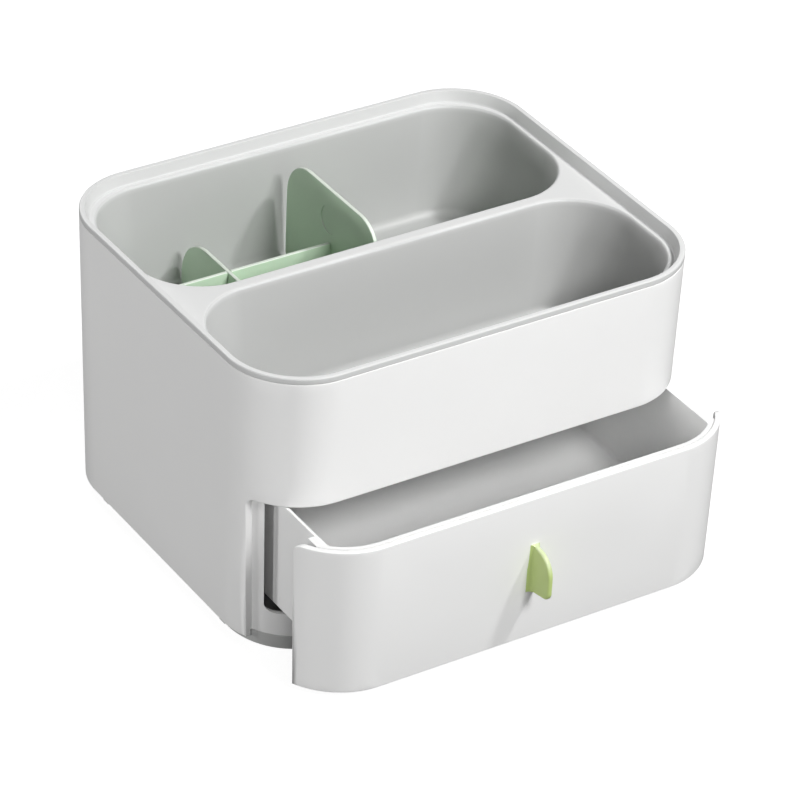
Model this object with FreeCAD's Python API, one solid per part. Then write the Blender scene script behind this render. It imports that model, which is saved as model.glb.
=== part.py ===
import FreeCAD, Part
import os
from math import cos, degrees, hypot, radians, sin, tan

os.makedirs("parts", exist_ok=True)
V = FreeCAD.Vector

# Overall form, in mm. The drawer faces -Y and the object stands on z = 0.
WIDTH = 250.0
DEPTH = 210.0
HEIGHT = 157.5
CORNER = 39.0
DRAFT = 0.0156          # the walls lean inwards by this much per mm of depth
WALL = 2.4
FAR = 400.0             # larger than the object, for cutting tools
GAP = 0.3               # between two pieces that sit inside one another
SEAT = 0.1              # between two pieces that rest on one another
ON = 0.05               # how near counts as lying on a surface
SHARP = 20.0            # degrees between two faces that make an edge sharp
EDGE = 0.5              # usual rounding of a moulded edge

# Base plate
BODY_FOOT = 4.5         # the housing hovers this far above the table
PLINTH_INSET = 3.0
PLINTH_TOP = 8.2
PLINTH_WALL = 2.0
PLINTH_FLOOR = 2.4
PLINTH_CHAMFER = 0.8
PLINTH_TOP_CHAMFER = 0.5

# Lip of the tray and top edge of the housing
LIP = 3.1
RIM_WIDTH = 2.6
DECK_INSET = 4.5
DECK_DROP = 6.0
DECK_THICK = 2.2
RIM_ROUND = 0.7
DECK_ROUND = 1.2
WELL_ROUND = 1.6

# Wells
WELL_CORNER = 34.0
WELL_INSET = 7.4
WELL_DRAFT = tan(radians(4.0))
WELL_FLOOR = 90.0
WELL_SKIN = 1.8
WELL_BOTTOM_ROUND = 5.0
REAR_WELL_FRONT = -2.2
FRONT_WELL_REAR = -9.6

# Recess and opening of the housing, and the drawer front that fills them
RECESS = 3.0
RECESS_END = 25.2 - DEPTH / 2
RECESS_TOP = 85.5
RECESS_ROUND = 5.0
OPENING_HALF = WIDTH / 2 - 12.2
OPENING_FLARE = 1.4     # the opening is wider at its upper edge
SILL = 20.9
SILL_ROUND = 4.5
FRONT_GAP = 0.35
FRONT_BOTTOM = 4.1
FRONT_ROUND = 4.5

# Drawer tub
DRAWER_OPEN = 41.67     # the photographed pose
DRAWER_TRAVEL = 141.67  # from shut to the stops
TUB_TOP = RECESS_TOP - FRONT_GAP
TUB_HALF = OPENING_HALF - 4.0
TUB_REAR = DEPTH / 2 - 9.0
TUB_BOTTOM = 22.5
TUB_WALL = 1.5
TUB_FLOOR = 1.8
TUB_DRAFT = 0.02
TUB_CORNER = 12.0
TUB_LOWER_ROUND = 3.0
CAP_DEPTH = 5.2
CAP_HALF = OPENING_HALF - 0.5
CAP_END = RECESS_END - 0.5
TUB_FRONT_CORNER = 3.5
CAP_LOWER_ROUND = 8.0

# Runners, guides, stops
RUNNER_X = WIDTH * 0.28
RUNNER_THICK = 2.0
RUNNER_END = DEPTH / 2 - 21.0
RUNNER_ROUND = 8.0
GUIDE_X = TUB_HALF + 1.5
GUIDE_THICK = 1.6
GUIDE_END = DEPTH * 0.22
GUIDE_TOP = 32.0
GUIDE_ROUND = 10.0
STOP_X = WIDTH * 0.16
STOP_WIDTH = 14.0
STOP_THICK = 3.0
STOP_BRACE = 14.0
RIB_THICK = 1.8
RIB_PITCH = DEPTH * 0.28
LUG_DROP = 4.0
LUG_FRONT = TUB_REAR - 8.0

# Screws and bosses
BOSS_R = 3.8
BOSS_X = WIDTH / 2 - 8.4
BOSS_Y = DEPTH * 0.276
BOSS_HEIGHT = 30.0
BOSS_WEB = 2.0
SCREW_R = 1.2
SCREW_HEAD_R = 2.4
SCREW_HEAD = 1.6
SCREW_SLOT = 0.6
SCREW_SLOT_REACH = 1.4
SCREW_SLOT_DEPTH = 1.0
BASE_SCREW_LENGTH = 16.0

# Dividers of the rear well
PANEL = 2.0
TALL_X = 2.0
TALL_FRONT = 5.5
TALL_REAR = DEPTH / 2 - 15.0
TALL_TOP = 151.6
TALL_ROUND_FRONT = 16.0
TALL_ROUND_REAR = 21.0
LOW_TOP = 122.5
LONG_LEFT = 14.0 - WIDTH / 2
CROSS_X = -WIDTH * 0.228
LOW_ROUND = 24.0
PANEL_FOOT_ROUND = 6.0
PANEL_EDGE = 0.5
LAP_SLACK = 0.2
TONGUE = 2.2
TONGUE_TOP = 3.5
TONGUE_HEIGHT = 14.0
DISC_R = 7.5
DISC_DEPTH = 0.6
DISC_Y = 49.5
DISC_Z = 134.5

# Pull tab, in the YZ plane
TAB_THICK = 2.7
TAB_LOW = 31.2
TAB_HIGH = 58.8
TAB_REACH = 15.0
TAB_RISE = 3.2          # the lower edge climbs towards the tip
TAB_FALL = 2.6          # the upper edge drops towards the tip
TAB_TOP_ROUND = 11.0
TAB_LOWER_ROUND = 4.5
TAB_EDGE = 1.0
TAB_FOOT = 2.2
TAB_ROOT = 2.0
TAB_PEG_R = 2.2
TAB_PEG_Z = (38.5, 51.5)
TAB_SCREW_R = 1.0
TAB_SCREW_LENGTH = 4.4
TAB_HEAD_R = 3.2


def half_sizes(z, inset):
    """Half width and half depth of the housing at a height, less an inset."""
    lean = DRAFT * (HEIGHT - z)
    return WIDTH / 2 - lean - inset, DEPTH / 2 - lean - inset


def rounded_wire(x0, x1, y0, y1, radius, z):
    """A rounded rectangle at height z, as four lines and four arcs."""
    edges = []
    corners = [(x1, y1, 0), (x0, y1, 90), (x0, y0, 180), (x1, y0, 270)]
    centres = []
    for x, y, start in corners:
        cx = x - radius if x == x1 else x + radius
        cy = y - radius if y == y1 else y + radius
        centres.append((V(cx, cy, z), start))
    ends = []
    for centre, start in centres:
        points = [centre + V(cos(radians(a)), sin(radians(a)), 0) * radius
                  for a in (start, start + 45, start + 90)]
        ends.append(points)
    for i, points in enumerate(ends):
        edges.append(Part.Arc(*points).toShape())
        following = ends[(i + 1) % len(ends)]
        edges.append(Part.LineSegment(points[-1], following[0]).toShape())
    return Part.Wire(edges)


def ring(z, inset):
    hx, hy = half_sizes(z, inset)
    return rounded_wire(-hx, hx, -hy, hy, CORNER - inset, z)


def block(z0, z1, inset0, inset1=None):
    """Solid between two rings of the housing's outline."""
    if inset1 is None:
        inset1 = inset0
    return Part.makeLoft([ring(z0, inset0), ring(z1, inset1)], True, True)


def box(x0, x1, y0, y1, z0, z1):
    return Part.makeBox(x1 - x0, y1 - y0, z1 - z0, V(x0, y0, z0))


def cylinder(radius, length, start, axis):
    return Part.makeCylinder(radius, length, start, axis)


def rounded_profile(points, radii):
    """Face from a closed outline whose corners are rounded by the radii."""
    count = len(points)
    starts = []
    arcs = []
    for i, point in enumerate(points):
        before = (points[i - 1] - point).normalize()
        after = (points[(i + 1) % count] - point).normalize()
        radius = radii[i]
        if radius == 0:
            starts.append((point, point))
            arcs.append(None)
            continue
        half = before.getAngle(after) / 2
        setback = radius / tan(half)
        middle = (before + after).normalize()
        centre = point + middle * (radius / sin(half))
        p0 = point + before * setback
        p2 = point + after * setback
        starts.append((p0, p2))
        arcs.append(Part.Arc(p0, centre - middle * radius, p2).toShape())
    edges = []
    for i in range(count):
        if arcs[i] is not None:
            edges.append(arcs[i])
        here = starts[i][1]
        there = starts[(i + 1) % count][0]
        if (there - here).Length > 1e-6:
            edges.append(Part.LineSegment(here, there).toShape())
    return Part.Face(Part.Wire(edges))


def side_profile(outline, radii, x0, x1):
    """Prism across X of an outline given as (y, z) corners."""
    face = rounded_profile([V(x0, y, z) for y, z in outline], radii)
    return face.extrude(V(x1 - x0, 0, 0))


def front_profile(outline, radii, y0, y1):
    """Prism across Y of an outline given as (x, z) corners."""
    face = rounded_profile([V(x, y0, z) for x, z in outline], radii)
    return face.extrude(V(0, y1 - y0, 0))


def soften(shape, radius, wanted):
    """Fillet the edges whose bounding box satisfies the test."""
    edges = [edge for edge in shape.Edges if wanted(edge.BoundBox)]
    return shape.makeFillet(radius, edges)


def depth_of(p):
    """How far inside the housing's outer surface a point lies."""
    hx, hy = half_sizes(p.z, CORNER)
    qx = abs(p.x) - hx
    qy = abs(p.y) - hy
    return CORNER - hypot(max(qx, 0), max(qy, 0)) - min(max(qx, qy), 0)


def is_sharp(shape, edge, point):
    normals = []
    for face in shape.ancestorsOfType(edge, Part.Face):
        normals.append(face.normalAt(*face.Surface.parameter(point)))
    return len(normals) == 2 and degrees(normals[0].getAngle(normals[1])) > SHARP


def round_off(shape, radius, wanted):
    """Fillet the sharp edges whose middle satisfies the test."""
    edges = []
    for edge in shape.Edges:
        middle = edge.valueAt((edge.FirstParameter + edge.LastParameter) / 2)
        if wanted(middle) and is_sharp(shape, edge, middle):
            edges.append(edge)
    return shape.makeFillet(radius, edges)


def at_level(z, depth):
    """Test for points at height z and at a depth inside the outer surface."""
    return lambda p: abs(p.z - z) < ON and abs(depth_of(p) - depth) < ON


def outer_body():
    top = HEIGHT - LIP - SEAT
    joggle = RECESS_END + WALL
    ceiling = RECESS_TOP + WALL
    shell = block(BODY_FOOT, top, 0)
    shell = round_off(shell, EDGE, at_level(top, 0))
    front_zone = box(-FAR, FAR, -FAR, joggle, PLINTH_TOP + SEAT, ceiling)
    deep = block(BODY_FOOT, top + 1, WALL)
    cavity = deep.cut(front_zone)
    cavity = cavity.fuse(block(BODY_FOOT, ceiling, RECESS + WALL).common(front_zone))
    shell = shell.cut(cavity)
    recess = side_profile([(-FAR, -FAR), (RECESS_END, -FAR), (RECESS_END, RECESS_TOP),
                           (-FAR, RECESS_TOP)], [0, 0, RECESS_ROUND, 0], -FAR, FAR)
    recess = recess.cut(block(PLINTH_TOP + SEAT, HEIGHT, RECESS))
    shell = shell.cut(recess)
    opening = front_profile([(-OPENING_HALF, SILL), (OPENING_HALF, SILL),
                             (OPENING_HALF + OPENING_FLARE, RECESS_TOP),
                             (-OPENING_HALF - OPENING_FLARE, RECESS_TOP)],
                            [SILL_ROUND, SILL_ROUND, 0, 0], -FAR, joggle)
    shell = shell.cut(opening)
    shell = round_off(shell, EDGE, lambda p: depth_of(p) < ON and p.z < top / 2)
    for x, y in screw_places():
        boss = cylinder(BOSS_R, BOSS_HEIGHT, V(x, y, PLINTH_TOP + SEAT), V(0, 0, 1))
        wall_x = x + BOSS_R * 2 * x / abs(x)
        web = box(min(x, wall_x), max(x, wall_x), y - BOSS_WEB / 2, y + BOSS_WEB / 2,
                  PLINTH_TOP + SEAT, PLINTH_TOP + SEAT + BOSS_HEIGHT)
        boss = boss.fuse(web).common(block(BODY_FOOT, top, WALL / 2))
        hole = cylinder(SCREW_R + GAP, BASE_SCREW_LENGTH + GAP,
                        V(x, y, BODY_FOOT), V(0, 0, 1))
        shell = shell.fuse(boss).cut(hole)
    return shell


def screw_places():
    return [(sx * BOSS_X, sy * BOSS_Y) for sx in (-1, 1) for sy in (-1, 1)]


def base_plate():
    plate = block(0, PLINTH_CHAMFER, PLINTH_INSET + PLINTH_CHAMFER, PLINTH_INSET)
    shoulder = PLINTH_TOP - PLINTH_TOP_CHAMFER
    plate = plate.fuse(block(PLINTH_CHAMFER, shoulder, PLINTH_INSET))
    plate = plate.fuse(block(shoulder, PLINTH_TOP, PLINTH_INSET,
                             PLINTH_INSET + PLINTH_TOP_CHAMFER))
    plate = plate.cut(block(PLINTH_FLOOR, PLINTH_TOP + 1, PLINTH_INSET + PLINTH_WALL))
    rail_top = TUB_BOTTOM - SEAT * 2
    rail_foot = PLINTH_FLOOR - SEAT
    stop_face = LUG_FRONT - DRAWER_TRAVEL - GAP
    for side in (-1, 1):
        plate = plate.fuse(upright(side * RUNNER_X, RUNNER_THICK, RUNNER_END, rail_foot,
                                   rail_top, RUNNER_ROUND))
        plate = plate.fuse(upright(side * GUIDE_X, GUIDE_THICK, GUIDE_END, rail_foot,
                                   GUIDE_TOP, GUIDE_ROUND))
        x = side * STOP_X
        post = box(x - STOP_WIDTH / 2, x + STOP_WIDTH / 2,
                   stop_face - STOP_THICK, stop_face, rail_foot, rail_top)
        brace = side_profile([(stop_face - STOP_BRACE, rail_foot),
                              (stop_face - STOP_THICK / 2, rail_foot),
                              (stop_face - STOP_THICK / 2, rail_top - LUG_DROP)],
                             [0, 0, 0], x - RUNNER_THICK / 2, x + RUNNER_THICK / 2)
        plate = plate.fuse(post).fuse(brace)
    for y in (-RIB_PITCH, 0.0, RIB_PITCH):
        rib = box(-RUNNER_X, RUNNER_X, y - RIB_THICK / 2, y + RIB_THICK / 2,
                  rail_foot, PLINTH_TOP)
        plate = plate.fuse(rib)
    for x, y in screw_places():
        pad = cylinder(BOSS_R, PLINTH_TOP, V(x, y, 0), V(0, 0, 1))
        pad = pad.common(block(0, HEIGHT, PLINTH_INSET))
        hole = cylinder(SCREW_R + GAP, PLINTH_TOP + 1, V(x, y, -1), V(0, 0, 1))
        sink = cylinder(SCREW_HEAD_R + GAP, SCREW_HEAD + 2 * GAP, V(x, y, 0), V(0, 0, 1))
        plate = plate.fuse(pad).cut(hole).cut(sink)
    return plate


def upright(x, thick, end, z0, z1, radius):
    """Thin upright rib along Y with rounded upper ends."""
    outline = [(-end, z0), (end, z0), (end, z1), (-end, z1)]
    return side_profile(outline, [0, 0, radius, radius], x - thick / 2, x + thick / 2)


def base_screws():
    screws = []
    for x, y in screw_places():
        head = cylinder(SCREW_HEAD_R, SCREW_HEAD, V(x, y, GAP), V(0, 0, 1))
        shank = cylinder(SCREW_R, BASE_SCREW_LENGTH - GAP, V(x, y, GAP), V(0, 0, 1))
        long, short = SCREW_SLOT_REACH, SCREW_SLOT / 2
        cross = box(x - long, x + long, y - short, y + short, 0, SCREW_SLOT_DEPTH)
        cross = cross.fuse(box(x - short, x + short, y - long, y + long,
                               0, SCREW_SLOT_DEPTH))
        screws.append(head.fuse(shank).cut(cross))
    return Part.makeCompound(screws)


def well(y0, y1, skin):
    """Drafted well between two Y values at deck level, grown by a skin."""
    deck = HEIGHT - DECK_DROP
    hx = half_sizes(deck, WELL_INSET)[0]
    sections = []
    for z in (WELL_FLOOR - skin, deck):
        lean = WELL_DRAFT * (deck - z) - skin
        sections.append(rounded_wire(-hx + lean, hx - lean, y0 + lean, y1 - lean,
                                     WELL_CORNER - lean / 2, z))
    return Part.makeLoft(sections, True, True)


def top_tray():
    deck = HEIGHT - DECK_DROP
    seat = HEIGHT - LIP
    rear_end = half_sizes(deck, WELL_INSET)[1]
    spans = [(REAR_WELL_FRONT, rear_end), (-rear_end, FRONT_WELL_REAR)]
    lip = round_off(block(seat, HEIGHT, 0), RIM_ROUND, at_level(HEIGHT, 0))
    lip = round_off(lip, GAP, at_level(seat, 0))
    slope = block(deck, HEIGHT + 1, DECK_INSET, RIM_WIDTH)
    slope = round_off(slope, DECK_ROUND, at_level(deck, DECK_INSET))
    tray = lip.fuse(block(deck - DECK_THICK, seat, WALL + GAP))
    tray = tray.cut(slope)
    tray = round_off(tray, EDGE, at_level(HEIGHT, RIM_WIDTH + (DECK_INSET - RIM_WIDTH)
                                          / (DECK_DROP + 1)))
    for y0, y1 in spans:
        outer = well(y0, y1, WELL_SKIN)
        outer = soften(outer, WELL_BOTTOM_ROUND + WELL_SKIN,
                       lambda b: b.ZMax < WELL_FLOOR - WELL_SKIN + 0.02)
        tray = tray.fuse(outer)
    for y0, y1 in spans:
        inner = well(y0, y1, 0)
        inner = soften(inner, WELL_BOTTOM_ROUND, lambda b: b.ZMax < WELL_FLOOR + 0.02)
        tray = tray.cut(inner)
    hx = half_sizes(deck, WELL_INSET)[0]

    def mouth(b):
        level = abs(b.ZMin - deck) < 0.02 and abs(b.ZMax - deck) < 0.02
        inside = max(abs(b.XMin), abs(b.XMax)) < hx + 0.1
        return level and inside and max(abs(b.YMin), abs(b.YMax)) < rear_end + 0.1
    tray = soften(tray, WELL_ROUND, mouth)
    return tray


def panel_yz(x, outline, radii):
    """Divider panel across the well, with softened rims."""
    panel = side_profile(outline, radii, x - PANEL / 2, x + PANEL / 2)
    return soften(panel, PANEL_EDGE, lambda b: b.XLength < 0.01)


def long_divider_span():
    return (REAR_WELL_FRONT + half_sizes(HEIGHT - DECK_DROP, WELL_INSET)[1]) / 2


def tongue_box(slack):
    y = long_divider_span()
    z1 = LOW_TOP - TONGUE_TOP + slack
    return box(TALL_X - PANEL / 2 - 1, TALL_X + PANEL / 2 + TONGUE,
               y - PANEL / 2 - slack, y + PANEL / 2 + slack, z1 - TONGUE_HEIGHT - slack * 2, z1)


def tall_divider():
    foot = WELL_FLOOR + SEAT
    outline = [(TALL_FRONT, foot), (TALL_REAR, foot), (TALL_REAR, TALL_TOP),
               (TALL_FRONT, TALL_TOP)]
    radii = [PANEL_FOOT_ROUND, PANEL_FOOT_ROUND, TALL_ROUND_REAR, TALL_ROUND_FRONT]
    panel = panel_yz(TALL_X, outline, radii)
    disc = cylinder(DISC_R, DISC_DEPTH, V(TALL_X - PANEL / 2, DISC_Y, DISC_Z), V(1, 0, 0))
    return panel.cut(disc).cut(tongue_box(LAP_SLACK))


def long_divider():
    foot = WELL_FLOOR + SEAT
    y = long_divider_span()
    right = TALL_X - PANEL / 2 - LAP_SLACK
    outline = [(LONG_LEFT, foot), (right, foot), (right, LOW_TOP), (LONG_LEFT, LOW_TOP)]
    radii = [PANEL_FOOT_ROUND, 2, 1, PANEL_FOOT_ROUND]
    panel = front_profile(outline, radii, y - PANEL / 2, y + PANEL / 2)
    panel = soften(panel, PANEL_EDGE, lambda b: b.YLength < 0.01)
    half_lap = box(CROSS_X - PANEL / 2 - LAP_SLACK, CROSS_X + PANEL / 2 + LAP_SLACK,
                   y - PANEL, y + PANEL, (foot + LOW_TOP) / 2 - LAP_SLACK, LOW_TOP + 1)
    return panel.cut(half_lap).fuse(tongue_box(0))


def cross_divider():
    foot = WELL_FLOOR + SEAT
    y = long_divider_span()
    lean = WELL_DRAFT * (HEIGHT - DECK_DROP - foot)
    half = y - REAR_WELL_FRONT - lean - WELL_ROUND / 2
    outline = [(y - half, foot), (y + half, foot), (y + half, LOW_TOP), (y - half, LOW_TOP)]
    radii = [PANEL_FOOT_ROUND, PANEL_FOOT_ROUND, LOW_ROUND, LOW_ROUND]
    panel = panel_yz(CROSS_X, outline, radii)
    half_lap = box(CROSS_X - PANEL, CROSS_X + PANEL, y - PANEL / 2 - LAP_SLACK,
                   y + PANEL / 2 + LAP_SLACK, foot - 1, (foot + LOW_TOP) / 2 + LAP_SLACK)
    return panel.cut(half_lap)


def tub_block(half, rear, z0, z1, corner):
    """Drafted body of the drawer behind its front wall."""
    sections = []
    for z in (z0, z1):
        lean = TUB_DRAFT * (z1 - z)
        sections.append(rounded_wire(-half + lean, half - lean, -DEPTH, rear - lean,
                                     corner, z))
    return Part.makeLoft(sections, True, True)


def drawer_tub():
    behind = box(-FAR, FAR, CAP_END, FAR, 0, FAR)
    outer = tub_block(TUB_HALF, TUB_REAR, TUB_BOTTOM, TUB_TOP, TUB_CORNER)
    outer = soften(outer, TUB_LOWER_ROUND, lambda b: b.ZMax < TUB_BOTTOM + 0.02)
    outer = soften(outer, GAP, lambda b: b.ZMin > TUB_TOP - 0.02)
    outer = outer.common(behind)
    front = block(TUB_BOTTOM, TUB_TOP, RECESS)
    passes = front_profile([(-CAP_HALF, TUB_BOTTOM), (CAP_HALF, TUB_BOTTOM),
                            (CAP_HALF, TUB_TOP), (-CAP_HALF, TUB_TOP)],
                           [CAP_LOWER_ROUND, CAP_LOWER_ROUND, 0, 0], -FAR, CAP_END)
    front = front.common(passes)
    tub = outer.fuse(front)
    inside = tub_block(TUB_HALF - TUB_WALL, TUB_REAR - TUB_WALL,
                       TUB_BOTTOM + TUB_FLOOR, TUB_TOP + 1, TUB_CORNER - TUB_WALL)
    inside = inside.common(block(TUB_BOTTOM, HEIGHT, CAP_DEPTH))
    inside = soften(inside, TUB_FRONT_CORNER,
                    lambda b: b.ZLength > TUB_FLOOR + TUB_LOWER_ROUND
                    and b.YMax < CAP_END and b.XLength < TUB_WALL * 2)
    inside = soften(inside, TUB_LOWER_ROUND - TUB_WALL / 2,
                    lambda b: b.ZMax < TUB_BOTTOM + TUB_FLOOR + 0.02)
    tub = tub.cut(inside)
    for side in (-1, 1):
        x = side * STOP_X
        lug = box(x - STOP_WIDTH / 2, x + STOP_WIDTH / 2, LUG_FRONT, LUG_FRONT + STOP_THICK,
                  TUB_BOTTOM - LUG_DROP, TUB_BOTTOM + TUB_FLOOR / 2)
        tub = tub.fuse(lug)
    return tub.cut(peg_holes())


def drawer_front():
    skin = block(FRONT_BOTTOM, TUB_TOP, 0).cut(block(0, HEIGHT, RECESS - FRONT_GAP))
    end = RECESS_END - FRONT_GAP
    keep = side_profile([(-FAR, FRONT_BOTTOM), (end, FRONT_BOTTOM), (end, TUB_TOP),
                         (-FAR, TUB_TOP)], [0, 0, FRONT_ROUND, 0], -FAR, FAR)
    skin = skin.common(keep)
    skin = round_off(skin, EDGE, lambda p: depth_of(p) < ON)
    return skin.cut(peg_holes())


def peg_holes():
    holes = [cylinder(TAB_PEG_R + GAP, DEPTH, V(0, 0, z), V(0, -1, 0)) for z in TAB_PEG_Z]
    return holes[0].fuse(holes[1:])


def tab_face(z):
    return -half_sizes(z, 0)[1]


def pull_tab():
    face = tab_face((TAB_LOW + TAB_HIGH) / 2)
    root = face + TAB_ROOT
    tip = face - TAB_REACH
    outline = [(root, TAB_LOW), (root, TAB_HIGH), (tip, TAB_HIGH - TAB_FALL),
               (tip, TAB_LOW + TAB_RISE)]
    radii = [0, 0, TAB_TOP_ROUND, TAB_LOWER_ROUND]
    half = TAB_THICK / 2
    fin = side_profile(outline, radii, -half, half)
    fin = soften(fin, TAB_EDGE, lambda b: b.XLength < 0.01 and b.YMin < face - TAB_ROOT)
    wide = half + TAB_FOOT
    foot = box(-wide, wide, face - TAB_FOOT, root, TAB_LOW, TAB_HIGH)
    foot = foot.common(side_profile(outline, radii, -wide, wide))
    for side in (-1, 1):
        foot = foot.cut(cylinder(TAB_FOOT, TAB_HIGH, V(side * wide, face - TAB_FOOT, 0),
                                 V(0, 0, 1)))
    tab = fin.fuse(foot).cut(block(0, HEIGHT, 0))
    for z in TAB_PEG_Z:
        start = tab_face(z) + CAP_DEPTH - GAP
        tab = tab.fuse(cylinder(TAB_PEG_R, CAP_DEPTH, V(0, start, z), V(0, -1, 0)))
        tab = tab.cut(cylinder(TAB_SCREW_R + GAP, TAB_SCREW_LENGTH, V(0, start, z),
                               V(0, -1, 0)))
    return tab


def tab_screws():
    screws = []
    for z in TAB_PEG_Z:
        seat = tab_face(z) + CAP_DEPTH + SEAT
        head = cylinder(TAB_HEAD_R, SCREW_HEAD, V(0, seat + SCREW_HEAD, z), V(0, -1, 0))
        shank = cylinder(TAB_SCREW_R, TAB_SCREW_LENGTH, V(0, seat, z), V(0, -1, 0))
        screws.append(head.fuse(shank))
    return Part.makeCompound(screws)


FIXED = {
    "outer_body": outer_body,
    "base_plate": base_plate,
    "base_screws": base_screws,
    "top_tray": top_tray,
    "tall_divider": tall_divider,
    "long_divider": long_divider,
    "cross_divider": cross_divider,
}
DRAWER = {
    "drawer_tub": drawer_tub,
    "drawer_front": drawer_front,
    "pull_tab": pull_tab,
    "tab_screws": tab_screws,
}

for name, make in {**FIXED, **DRAWER}.items():
    shape = make()
    if name in DRAWER:
        shape.translate(V(0, -DRAWER_OPEN, 0))
    shape.exportStep("parts/" + name + ".step")
    print(name, shape.isValid(), len(shape.Solids), round(shape.Volume / 1000, 1))
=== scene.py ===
import math

import bmesh
import bpy
from mathutils import Matrix, Vector


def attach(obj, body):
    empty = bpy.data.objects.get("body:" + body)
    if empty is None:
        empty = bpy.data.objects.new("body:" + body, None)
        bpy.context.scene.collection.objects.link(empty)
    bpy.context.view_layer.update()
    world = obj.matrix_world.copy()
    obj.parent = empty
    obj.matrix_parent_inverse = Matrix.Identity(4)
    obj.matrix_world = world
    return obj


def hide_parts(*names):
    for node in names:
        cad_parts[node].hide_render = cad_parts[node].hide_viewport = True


bl_info = {
    "name": "Bathroom organizer looks",
    "version": (1, 0, 0),
    "blender": (4, 5, 0),
    "location": "View3D > Sidebar > Organizer",
    "description": "Materials, stage and camera for the organizer",
    "category": "Object",
}

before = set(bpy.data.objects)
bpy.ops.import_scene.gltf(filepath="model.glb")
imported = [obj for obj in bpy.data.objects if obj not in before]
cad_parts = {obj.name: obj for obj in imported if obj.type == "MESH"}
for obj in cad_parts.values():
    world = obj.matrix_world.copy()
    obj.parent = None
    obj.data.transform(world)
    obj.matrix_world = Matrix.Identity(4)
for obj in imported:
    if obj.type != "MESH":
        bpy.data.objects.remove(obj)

# Camera, fitted to the photograph
CAMERA_AZIMUTH = -33.473
CAMERA_ELEVATION = 32.93
CAMERA_ROLL = 2.696
CAMERA_DISTANCE = 2.1476
CAMERA_TARGET = (0.01552, 0.0, 0.0519)
CAMERA_FOCAL_PIXELS = 4305.0
PHOTO_PIXELS = 800
SENSOR = 36.0

# Lamps: name, azimuth and elevation in degrees, size in metres, strength
LAMPS = (
    ("key", 48, 56, 0.22, 0.41),
    ("front", 9, 40, 0.5, 0.45),
    ("low_front", -6, 12, 1.0, 0.09),
    ("eye", -31, 32, 0.5, 0.08),
    ("right", 60, 10, 1.2, 0.07),
    ("left", -82, 4, 0.36, 0.18),
    ("rear_left", -120, 4, 0.36, 0.22),
    ("rear", 172, 28, 0.8, 0.16),
)
LAMP_TARGET = (0.0, 0.0, 0.07)
LAMP_CLEARANCE = 0.02

# The floor seen by the camera: just white in the light, a little less in shadow
FLOOR_GLOW = 0.91
FLOOR_PALE = 0.30

# A point in the hollow of the drawer, in metres; inner walls that face it get painted light
TUB_PAINTED_LIGHT_CENTRE = (0.0, -0.04, 0.055)

# Materials that several operators share
WHITE = "moulded_white"
GREY = "moulded_grey_painted_light_and_shade"
STEEL = "cut_steel"

# Moulded surface: bend of light, cloudiness in colour and roughness, grain in height
PLASTIC_IOR = 1.46
CLOUD = 0.02
CLOUD_SCALE = 26.0
CLOUD_DETAIL = 3.0
CLOUD_MIDDLE = 0.5
GRAIN = 0.02
GRAIN_SCALE = 2600.0
GRAIN_DETAIL = 2.0
GRAIN_DEPTH = 0.0002

# Steel of the screws
STEEL_COLOR = (0.55, 0.55, 0.56)
STEEL_ROUGHNESS = 0.3
STEEL_CLOUD = 0.1
STEEL_GRAIN = 0.05

# Sockets of the mix node in its colour mode
MIX_A = 6
MIX_B = 7
MIX_RESULT = 2

# Corners of a CAD mesh closer than this are one corner
MERGE_DISTANCE = 2e-6

FLOOR_HALF = 3.0
FLOOR_ROUGHNESS = 0.9
PAPER_WHITE = (1, 1, 1, 1)
CLIP_START = 0.05
CLIP_END = 20.0

# Upward parts of the surface normal between which a painted highlight on upper edges, or
# painted light on level faces, sets in
EDGE_HIGHLIGHT_NORMALS = (0.15, 0.6)
LEVEL_LIGHT_NORMALS = (0.86, 0.985)

# Heights between which the grey turns from the painted shade of the wells to the tone of the
# rim
WELL_SHADE_HEIGHTS = (0.1475, 0.1512)


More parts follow.
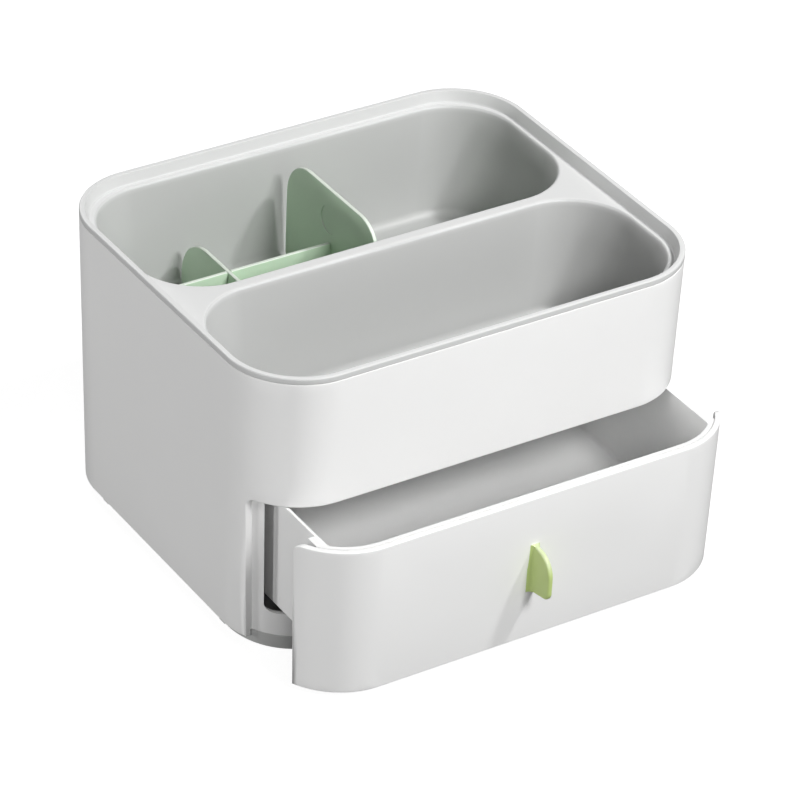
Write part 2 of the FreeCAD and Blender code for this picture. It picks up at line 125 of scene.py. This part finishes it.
class PlasticSettings(bpy.types.PropertyGroup):
    """Colours and finish of the moulded plastics, some with painted light, shade or
    highlights.
    """

    white: bpy.props.FloatVectorProperty(
        name="White", description="Colour of the housing and the drawer",
        subtype="COLOR", size=3, min=0, max=1, default=(0.87, 0.87, 0.865))
    # The tub colour is painted light, a brighter white on the inner walls of the drawer tub
    tub: bpy.props.FloatVectorProperty(
        name="Tub", description="Colour of the brighter drawer tub",
        subtype="COLOR", size=3, min=0, max=1, default=(0.97, 0.97, 0.965))
    # Grey is painted light: level parts get it, lighter than the slopes of the same plastic
    grey: bpy.props.FloatVectorProperty(
        name="Grey", description="Colour of the level parts of the rim and deck",
        subtype="COLOR", size=3, min=0, max=1, default=(0.76, 0.764, 0.76))
    slope_grey: bpy.props.FloatVectorProperty(
        name="Slope grey", description="Colour of the slopes and edges of the rim",
        subtype="COLOR", size=3, min=0, max=1, default=(0.61, 0.614, 0.61))
    # Deep grey is painted shade in the wells; the base plate, lower still, takes it too
    deep_grey_and_painted_well_shade: bpy.props.FloatVectorProperty(
        name="Deep grey", description="Colour of the wells and the base plate",
        subtype="COLOR", size=3, min=0, max=1, default=(0.50, 0.505, 0.498))
    sage: bpy.props.FloatVectorProperty(
        name="Sage", description="Colour of the dividers",
        subtype="COLOR", size=3, min=0, max=1, default=(0.60, 0.78, 0.58))
    # Sage edge is a painted highlight on the upper edges of the dividers
    sage_painted_highlight: bpy.props.FloatVectorProperty(
        name="Sage edge", description="Colour of the upper edges of the dividers",
        subtype="COLOR", size=3, min=0, max=1, default=(0.76, 0.83, 0.74))
    green: bpy.props.FloatVectorProperty(
        name="Green", description="Colour of the finger pull",
        subtype="COLOR", size=3, min=0, max=1, default=(0.52, 0.64, 0.24))
    # Green edge is a painted highlight on the upper edge of the finger pull
    green_painted_highlight: bpy.props.FloatVectorProperty(
        name="Green edge", description="Colour of the upper edge of the finger pull",
        subtype="COLOR", size=3, min=0, max=1, default=(0.58, 0.66, 0.38))
    roughness: bpy.props.FloatProperty(
        name="Roughness", description="Base roughness of the moulded plastic",
        min=0, max=1, default=0.42)


class EdgeSettings(bpy.types.PropertyGroup):
    """Shading of the moulded edges."""

    smooth_angle: bpy.props.FloatProperty(
        name="Smooth angle", description="Edges flatter than this are shaded smooth",
        subtype="ANGLE", min=0, default=math.radians(28))


class StageSettings(bpy.types.PropertyGroup):
    """Light of the studio."""

    power: bpy.props.FloatProperty(
        name="Lamp power", description="Power of a lamp of strength one",
        unit="POWER", min=0, default=50.0)
    distance: bpy.props.FloatProperty(
        name="Lamp distance", description="Distance of the lamps from the object",
        unit="LENGTH", min=0, default=2.0)
    fill: bpy.props.FloatProperty(
        name="Fill", description="Strength of the even light of the room",
        min=0, default=0.01)
    floor_tone: bpy.props.FloatProperty(
        name="Floor tone", description="How much light the floor sends back",
        min=0, max=1, default=0.06)
    sheen: bpy.props.FloatProperty(
        name="Backdrop sheen", description="Strength of the backdrop in reflections",
        min=0, max=1, default=0.35)


def grain_group():
    """Moulded surface: faint cloudiness in colour and roughness, fine grain in height."""
    found = bpy.data.node_groups.get("moulded_surface")
    if found:
        return found
    group = bpy.data.node_groups.new("moulded_surface", "ShaderNodeTree")
    for name, kind, value in (("Color", "NodeSocketColor", None),
                              ("Roughness", "NodeSocketFloat", 0.4),
                              ("Cloud", "NodeSocketFloat", CLOUD),
                              ("Grain scale", "NodeSocketFloat", GRAIN_SCALE)):
        socket = group.interface.new_socket(name=name, in_out="INPUT", socket_type=kind)
        if value is not None:
            socket.default_value = value
    for name, kind in (("Color", "NodeSocketColor"), ("Roughness", "NodeSocketFloat"),
                       ("Height", "NodeSocketFloat")):
        group.interface.new_socket(name=name, in_out="OUTPUT", socket_type=kind)
    nodes = group.nodes
    link = group.links.new
    entry = nodes.new("NodeGroupInput")
    leave = nodes.new("NodeGroupOutput")
    place = nodes.new("ShaderNodeTexCoord")
    cloud = nodes.new("ShaderNodeTexNoise")
    cloud.inputs["Scale"].default_value = CLOUD_SCALE
    cloud.inputs["Detail"].default_value = CLOUD_DETAIL
    link(place.outputs["Object"], cloud.inputs["Vector"])
    centred = nodes.new("ShaderNodeMath")
    centred.operation = "SUBTRACT"
    centred.inputs[1].default_value = CLOUD_MIDDLE
    link(cloud.outputs["Fac"], centred.inputs[0])
    amount = nodes.new("ShaderNodeMath")
    amount.operation = "MULTIPLY"
    link(centred.outputs[0], amount.inputs[0])
    link(entry.outputs["Cloud"], amount.inputs[1])
    shade = nodes.new("ShaderNodeMath")
    shade.operation = "ADD"
    shade.inputs[1].default_value = 1.0
    link(amount.outputs[0], shade.inputs[0])
    tint = nodes.new("ShaderNodeVectorMath")
    tint.operation = "SCALE"
    link(entry.outputs["Color"], tint.inputs[0])
    link(shade.outputs[0], tint.inputs["Scale"])
    link(tint.outputs["Vector"], leave.inputs["Color"])
    rough = nodes.new("ShaderNodeMath")
    rough.operation = "ADD"
    link(entry.outputs["Roughness"], rough.inputs[0])
    link(amount.outputs[0], rough.inputs[1])
    link(rough.outputs[0], leave.inputs["Roughness"])
    grain = nodes.new("ShaderNodeTexNoise")
    grain.inputs["Detail"].default_value = GRAIN_DETAIL
    link(place.outputs["Object"], grain.inputs["Vector"])
    link(entry.outputs["Grain scale"], grain.inputs["Scale"])
    link(grain.outputs["Fac"], leave.inputs["Height"])
    return group


def plastic(name, color, roughness, cloud=CLOUD, grain=GRAIN):
    """Plastic whose colour, roughness and bump come from the shared group."""
    material = bpy.data.materials.new(name)
    material.use_nodes = True
    nodes = material.node_tree.nodes
    link = material.node_tree.links.new
    shader = nodes["Principled BSDF"]
    shader.inputs["IOR"].default_value = PLASTIC_IOR
    surface = nodes.new("ShaderNodeGroup")
    surface.name = "surface"
    surface.node_tree = grain_group()
    surface.inputs["Color"].default_value = (*color, 1)
    surface.inputs["Roughness"].default_value = roughness
    surface.inputs["Cloud"].default_value = cloud
    bump = nodes.new("ShaderNodeBump")
    bump.inputs["Strength"].default_value = grain
    bump.inputs["Distance"].default_value = GRAIN_DEPTH
    link(surface.outputs["Color"], shader.inputs["Base Color"])
    link(surface.outputs["Roughness"], shader.inputs["Roughness"])
    link(surface.outputs["Height"], bump.inputs["Height"])
    link(bump.outputs["Normal"], shader.inputs["Normal"])
    return material


def height_group():
    """Blends two colours across a height in object space."""
    found = bpy.data.node_groups.get("height_blend")
    if found:
        return found
    group = bpy.data.node_groups.new("height_blend", "ShaderNodeTree")
    for name, kind in (("Below", "NodeSocketColor"), ("Above", "NodeSocketColor"),
                       ("From", "NodeSocketFloat"), ("To", "NodeSocketFloat")):
        group.interface.new_socket(name=name, in_out="INPUT", socket_type=kind)
    group.interface.new_socket(name="Color", in_out="OUTPUT", socket_type="NodeSocketColor")
    nodes = group.nodes
    link = group.links.new
    entry = nodes.new("NodeGroupInput")
    leave = nodes.new("NodeGroupOutput")
    place = nodes.new("ShaderNodeTexCoord")
    split = nodes.new("ShaderNodeSeparateXYZ")
    ramp = nodes.new("ShaderNodeMapRange")
    ramp.interpolation_type = "SMOOTHSTEP"
    mix = nodes.new("ShaderNodeMix")
    mix.data_type = "RGBA"
    link(place.outputs["Object"], split.inputs[0])
    link(split.outputs["Z"], ramp.inputs["Value"])
    link(entry.outputs["From"], ramp.inputs["From Min"])
    link(entry.outputs["To"], ramp.inputs["From Max"])
    link(ramp.outputs["Result"], mix.inputs["Factor"])
    link(entry.outputs["Below"], mix.inputs[MIX_A])
    link(entry.outputs["Above"], mix.inputs[MIX_B])
    link(mix.outputs[MIX_RESULT], leave.inputs["Color"])
    return group


def facing_up_group():
    """Blends to a second colour on surfaces that face up in object space."""
    found = bpy.data.node_groups.get("facing_up")
    if found:
        return found
    group = bpy.data.node_groups.new("facing_up", "ShaderNodeTree")
    for name, kind in (("Side", "NodeSocketColor"), ("Top", "NodeSocketColor"),
                       ("From", "NodeSocketFloat"), ("To", "NodeSocketFloat")):
        group.interface.new_socket(name=name, in_out="INPUT", socket_type=kind)
    group.interface.new_socket(name="Color", in_out="OUTPUT", socket_type="NodeSocketColor")
    nodes = group.nodes
    link = group.links.new
    entry = nodes.new("NodeGroupInput")
    leave = nodes.new("NodeGroupOutput")
    place = nodes.new("ShaderNodeTexCoord")
    split = nodes.new("ShaderNodeSeparateXYZ")
    ramp = nodes.new("ShaderNodeMapRange")
    link(entry.outputs["From"], ramp.inputs["From Min"])
    link(entry.outputs["To"], ramp.inputs["From Max"])
    mix = nodes.new("ShaderNodeMix")
    mix.data_type = "RGBA"
    link(place.outputs["Normal"], split.inputs[0])
    link(split.outputs["Z"], ramp.inputs["Value"])
    link(ramp.outputs["Result"], mix.inputs["Factor"])
    link(entry.outputs["Side"], mix.inputs[MIX_A])
    link(entry.outputs["Top"], mix.inputs[MIX_B])
    link(mix.outputs[MIX_RESULT], leave.inputs["Color"])
    return group


def facing_in_group():
    """Blends to a second colour on the inner walls around a centre."""
    found = bpy.data.node_groups.get("facing_in")
    if found:
        return found
    group = bpy.data.node_groups.new("facing_in", "ShaderNodeTree")
    for name, kind in (("Outside", "NodeSocketColor"), ("Inside", "NodeSocketColor"),
                       ("Centre", "NodeSocketVector")):
        group.interface.new_socket(name=name, in_out="INPUT", socket_type=kind)
    group.interface.new_socket(name="Color", in_out="OUTPUT", socket_type="NodeSocketColor")
    nodes = group.nodes
    link = group.links.new
    entry = nodes.new("NodeGroupInput")
    leave = nodes.new("NodeGroupOutput")
    place = nodes.new("ShaderNodeTexCoord")
    offset = nodes.new("ShaderNodeVectorMath")
    offset.operation = "SUBTRACT"
    along = nodes.new("ShaderNodeVectorMath")
    along.operation = "DOT_PRODUCT"
    inward = nodes.new("ShaderNodeMath")
    inward.operation = "LESS_THAN"
    inward.inputs[1].default_value = 0.0
    mix = nodes.new("ShaderNodeMix")
    mix.data_type = "RGBA"
    link(place.outputs["Object"], offset.inputs[0])
    link(entry.outputs["Centre"], offset.inputs[1])
    link(offset.outputs["Vector"], along.inputs[0])
    link(place.outputs["Normal"], along.inputs[1])
    link(along.outputs["Value"], inward.inputs[0])
    link(inward.outputs[0], mix.inputs["Factor"])
    link(entry.outputs["Outside"], mix.inputs[MIX_A])
    link(entry.outputs["Inside"], mix.inputs[MIX_B])
    link(mix.outputs[MIX_RESULT], leave.inputs["Color"])
    return group


def tub_painted_light_plastic(look):
    """White plastic of the tub, with painted light: its inner walls are a brighter white."""
    material = plastic("moulded_tub_white_painted_inner_light", look.white, look.roughness)
    blend = material.node_tree.nodes.new("ShaderNodeGroup")
    blend.node_tree = facing_in_group()
    blend.inputs["Outside"].default_value = (*look.white, 1)
    blend.inputs["Inside"].default_value = (*look.tub, 1)
    blend.inputs["Centre"].default_value = TUB_PAINTED_LIGHT_CENTRE
    color_from(material, blend)
    return material


def white_plastic(look):
    """White plastic of the housing and the drawer front."""
    found = bpy.data.materials.get(WHITE)
    if found:
        return found
    return plastic(WHITE, look.white, look.roughness)


def color_from(material, blend):
    """Lets a blend give the colour of a plastic's surface."""
    surface = material.node_tree.nodes["surface"]
    material.node_tree.links.new(blend.outputs["Color"], surface.inputs["Color"])


def facing_up_blend(material, side, top, normals):
    """Node in a material that goes from one colour to another on faces that look up."""
    blend = material.node_tree.nodes.new("ShaderNodeGroup")
    blend.node_tree = facing_up_group()
    blend.inputs["Side"].default_value = (*side, 1)
    blend.inputs["Top"].default_value = (*top, 1)
    blend.inputs["From"].default_value = normals[0]
    blend.inputs["To"].default_value = normals[1]
    return blend


def grey_plastic(look):
    """Grey plastic with painted shade, a deep grey, in the wells and below, and painted light
    on level parts of the rim.
    """
    found = bpy.data.materials.get(GREY)
    if found:
        return found
    material = plastic(GREY, look.grey, look.roughness)
    # Painted light: level faces of the rim and deck get a lighter grey than the slopes
    rim = facing_up_blend(material, look.slope_grey, look.grey, LEVEL_LIGHT_NORMALS)
    # Painted shade: the wells turn deep grey below the rim, and the base plate below takes it
    # too
    blend = material.node_tree.nodes.new("ShaderNodeGroup")
    blend.node_tree = height_group()
    blend.inputs["Below"].default_value = (*look.deep_grey_and_painted_well_shade, 1)
    material.node_tree.links.new(rim.outputs["Color"], blend.inputs["Above"])
    blend.inputs["From"].default_value = WELL_SHADE_HEIGHTS[0]
    blend.inputs["To"].default_value = WELL_SHADE_HEIGHTS[1]
    color_from(material, blend)
    return material


def painted_highlight_plastic(name, color, edge, look):
    """Plastic with a painted highlight: a paler colour on its upper edges and other faces
    that look up.
    """
    material = plastic(name, color, look.roughness)
    blend = facing_up_blend(material, color, edge, EDGE_HIGHLIGHT_NORMALS)
    color_from(material, blend)
    return material


def steel():
    """Steel of the screws."""
    found = bpy.data.materials.get(STEEL)
    if found:
        return found
    material = plastic(STEEL, STEEL_COLOR, STEEL_ROUGHNESS, STEEL_CLOUD, STEEL_GRAIN)
    material.node_tree.nodes["Principled BSDF"].inputs["Metallic"].default_value = 1.0
    return material


def skin(context, node, body, material):
    """Merged copy of a CAD node, shaded smooth except at its sharp edges."""
    edges = context.scene.organizer_edges
    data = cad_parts[node].data.copy()
    data.name = node + "_skin"
    bm = bmesh.new()
    bm.from_mesh(data)
    bmesh.ops.remove_doubles(bm, verts=bm.verts, dist=MERGE_DISTANCE)
    for face in bm.faces:
        face.smooth = True
    for edge in bm.edges:
        edge.smooth = edge.is_manifold and edge.calc_face_angle() < edges.smooth_angle
    bm.to_mesh(data)
    bm.free()
    data.materials.clear()
    data.materials.append(material)
    piece = bpy.data.objects.new(node + "_skin", data)
    context.scene.collection.objects.link(piece)
    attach(piece, body)
    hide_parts(node)
    return piece


class ORGANIZER_OT_housing(bpy.types.Operator):
    """Dress the white housing, its base plate and screws."""

    bl_idname = "organizer.housing"
    bl_label = "Housing"

    def execute(self, context):
        look = context.scene.organizer_plastic
        white = white_plastic(look)
        grey = grey_plastic(look)
        skin(context, "outer_body", "housing", white)
        skin(context, "base_plate", "housing", grey)
        skin(context, "base_screws", "housing", steel())
        return {"FINISHED"}


class ORGANIZER_OT_tray(bpy.types.Operator):
    """Dress the lift-out tray."""

    bl_idname = "organizer.tray"
    bl_label = "Tray"

    def execute(self, context):
        look = context.scene.organizer_plastic
        grey = grey_plastic(look)
        skin(context, "top_tray", "tray", grey)
        return {"FINISHED"}


class ORGANIZER_OT_dividers(bpy.types.Operator):
    """Dress the three sage panels of the rear well."""

    bl_idname = "organizer.dividers"
    bl_label = "Dividers"

    def execute(self, context):
        look = context.scene.organizer_plastic
        sage = painted_highlight_plastic("moulded_sage_painted_highlight", look.sage, look.sage_painted_highlight, look)
        skin(context, "tall_divider", "divider_set", sage)
        skin(context, "long_divider", "divider_set", sage)
        skin(context, "cross_divider", "divider_cross", sage)
        return {"FINISHED"}


class ORGANIZER_OT_drawer(bpy.types.Operator):
    """Dress the drawer tub, its front and the screws of the pull."""

    bl_idname = "organizer.drawer"
    bl_label = "Drawer"

    def execute(self, context):
        look = context.scene.organizer_plastic
        white = white_plastic(look)
        tub = tub_painted_light_plastic(look)
        skin(context, "drawer_tub", "drawer", tub)
        skin(context, "drawer_front", "drawer", white)
        skin(context, "tab_screws", "drawer", steel())
        return {"FINISHED"}


class ORGANIZER_OT_pull(bpy.types.Operator):
    """Dress the green finger pull."""

    bl_idname = "organizer.pull"
    bl_label = "Finger pull"

    def execute(self, context):
        look = context.scene.organizer_plastic
        green = painted_highlight_plastic("moulded_green_painted_highlight", look.green, look.green_painted_highlight, look)
        skin(context, "pull_tab", "drawer", green)
        return {"FINISHED"}


def direction(azimuth, elevation):
    """Unit vector to an azimuth, counted from the front, and an elevation, in degrees."""
    a = math.radians(azimuth)
    e = math.radians(elevation)
    return Vector((math.sin(a) * math.cos(e), -math.cos(a) * math.cos(e), math.sin(e)))


def camera_matrix():
    """Place and turn of the fitted camera."""
    r = math.radians(CAMERA_ROLL)
    back = direction(CAMERA_AZIMUTH, CAMERA_ELEVATION)
    right = (-back).cross(Vector((0, 0, 1))).normalized()
    up = right.cross(-back)
    right_rolled = right * math.cos(r) + up * math.sin(r)
    up_rolled = up * math.cos(r) - right * math.sin(r)
    turn = Matrix((right_rolled, up_rolled, back)).transposed().to_4x4()
    place = Vector(CAMERA_TARGET) + back * CAMERA_DISTANCE
    return Matrix.Translation(place) @ turn


def area_light(name, azimuth, elevation, size, power):
    """Round lamp at an azimuth and elevation, turned to the object."""
    away = direction(azimuth, elevation)
    data = bpy.data.lights.new(name, "AREA")
    data.shape = "DISK"
    data.size = size
    data.energy = power
    lamp = bpy.data.objects.new(name, data)
    target = Vector(LAMP_TARGET)
    place = target + away * bpy.context.scene.organizer_stage.distance
    place.z = max(place.z, LAMP_CLEARANCE + size / 2 * math.cos(math.radians(elevation)))
    lamp.location = place
    lamp.rotation_euler = (target - place).to_track_quat("-Z", "Y").to_euler()
    bpy.context.scene.collection.objects.link(lamp)


def floor_material(tone):
    """Dim for the light it sends back, and white with a faint shadow for the camera."""
    material = bpy.data.materials.new("floor")
    material.use_nodes = True
    nodes = material.node_tree.nodes
    link = material.node_tree.links.new
    dim = nodes["Principled BSDF"]
    dim.inputs["Base Color"].default_value = (tone, tone, tone, 1)
    dim.inputs["Roughness"].default_value = FLOOR_ROUGHNESS
    glow = nodes.new("ShaderNodeEmission")
    glow.inputs["Strength"].default_value = FLOOR_GLOW
    pale = nodes.new("ShaderNodeBsdfDiffuse")
    pale.inputs["Color"].default_value = (FLOOR_PALE, FLOOR_PALE, FLOOR_PALE, 1)
    seen = nodes.new("ShaderNodeAddShader")
    path = nodes.new("ShaderNodeLightPath")
    mix = nodes.new("ShaderNodeMixShader")
    link(glow.outputs[0], seen.inputs[0])
    link(pale.outputs[0], seen.inputs[1])
    link(path.outputs["Is Camera Ray"], mix.inputs["Fac"])
    link(dim.outputs[0], mix.inputs[1])
    link(seen.outputs[0], mix.inputs[2])
    link(mix.outputs[0], nodes["Material Output"].inputs["Surface"])
    return material


def add_floor(context, tone):
    """Level floor under the object."""
    bm = bmesh.new()
    bmesh.ops.create_grid(bm, x_segments=1, y_segments=1, size=FLOOR_HALF)
    data = bpy.data.meshes.new("floor")
    bm.to_mesh(data)
    bm.free()
    floor = bpy.data.objects.new("floor", data)
    context.scene.collection.objects.link(floor)
    data.materials.append(floor_material(tone))


def add_room(context, fill, sheen):
    """Room that is white to the camera, paler in reflections and nearly dark as a light."""
    world = bpy.data.worlds.new("studio")
    context.scene.world = world
    world.use_nodes = True
    nodes = world.node_tree.nodes
    link = world.node_tree.links.new
    room = nodes["Background"]
    room.inputs["Strength"].default_value = fill
    room.inputs["Color"].default_value = PAPER_WHITE
    gloss = nodes.new("ShaderNodeBackground")
    gloss.inputs["Color"].default_value = PAPER_WHITE
    gloss.inputs["Strength"].default_value = sheen
    white = nodes.new("ShaderNodeBackground")
    white.inputs["Color"].default_value = PAPER_WHITE
    path = nodes.new("ShaderNodeLightPath")
    reflected = nodes.new("ShaderNodeMixShader")
    mix = nodes.new("ShaderNodeMixShader")
    link(path.outputs["Is Glossy Ray"], reflected.inputs["Fac"])
    link(room.outputs[0], reflected.inputs[1])
    link(gloss.outputs[0], reflected.inputs[2])
    link(path.outputs["Is Camera Ray"], mix.inputs["Fac"])
    link(reflected.outputs[0], mix.inputs[1])
    link(white.outputs[0], mix.inputs[2])
    link(mix.outputs[0], nodes["World Output"].inputs["Surface"])


def add_camera(context):
    """Camera fitted to the photograph."""
    data = bpy.data.cameras.new("camera")
    data.sensor_width = SENSOR
    data.lens = CAMERA_FOCAL_PIXELS / PHOTO_PIXELS * SENSOR
    data.clip_start = CLIP_START
    data.clip_end = CLIP_END
    camera = bpy.data.objects.new("camera", data)
    camera.matrix_world = camera_matrix()
    context.scene.collection.objects.link(camera)
    context.scene.camera = camera


class ORGANIZER_OT_stage(bpy.types.Operator):
    """Floor, room, lamps and camera."""

    bl_idname = "organizer.stage"
    bl_label = "Stage"

    def execute(self, context):
        look = context.scene.organizer_stage
        add_floor(context, look.floor_tone)
        add_room(context, look.fill, look.sheen)
        for name, azimuth, elevation, size, strength in LAMPS:
            area_light(name, azimuth, elevation, size, strength * look.power)
        add_camera(context)
        context.scene.view_settings.view_transform = "Standard"
        return {"FINISHED"}


class ORGANIZER_PT_panel(bpy.types.Panel):
    """Lists the pieces and their settings."""

    bl_idname = "ORGANIZER_PT_panel"
    bl_label = "Organizer"
    bl_space_type = "VIEW_3D"
    bl_region_type = "UI"
    bl_category = "Organizer"

    def draw(self, context):
        for settings in (context.scene.organizer_plastic, context.scene.organizer_edges,
                         context.scene.organizer_stage):
            for name in settings.__annotations__:
                self.layout.prop(settings, name)
        for operator in OPERATORS:
            self.layout.operator(operator.bl_idname)


OPERATORS = (ORGANIZER_OT_housing, ORGANIZER_OT_tray, ORGANIZER_OT_dividers,
             ORGANIZER_OT_drawer, ORGANIZER_OT_pull, ORGANIZER_OT_stage)
CLASSES = (PlasticSettings, EdgeSettings, StageSettings, *OPERATORS, ORGANIZER_PT_panel)


def register():
    for item in CLASSES:
        bpy.utils.register_class(item)
    scene = bpy.types.Scene
    scene.organizer_plastic = bpy.props.PointerProperty(type=PlasticSettings)
    scene.organizer_edges = bpy.props.PointerProperty(type=EdgeSettings)
    scene.organizer_stage = bpy.props.PointerProperty(type=StageSettings)


def unregister():
    for name in ("organizer_plastic", "organizer_edges", "organizer_stage"):
        delattr(bpy.types.Scene, name)
    for item in reversed(CLASSES):
        bpy.utils.unregister_class(item)


def main():
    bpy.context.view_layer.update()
    register()
    bpy.ops.organizer.housing()
    bpy.ops.organizer.tray()
    bpy.ops.organizer.dividers()
    bpy.ops.organizer.drawer()
    bpy.ops.organizer.pull()
    bpy.ops.organizer.stage()


if __name__ == "__main__":
    main()
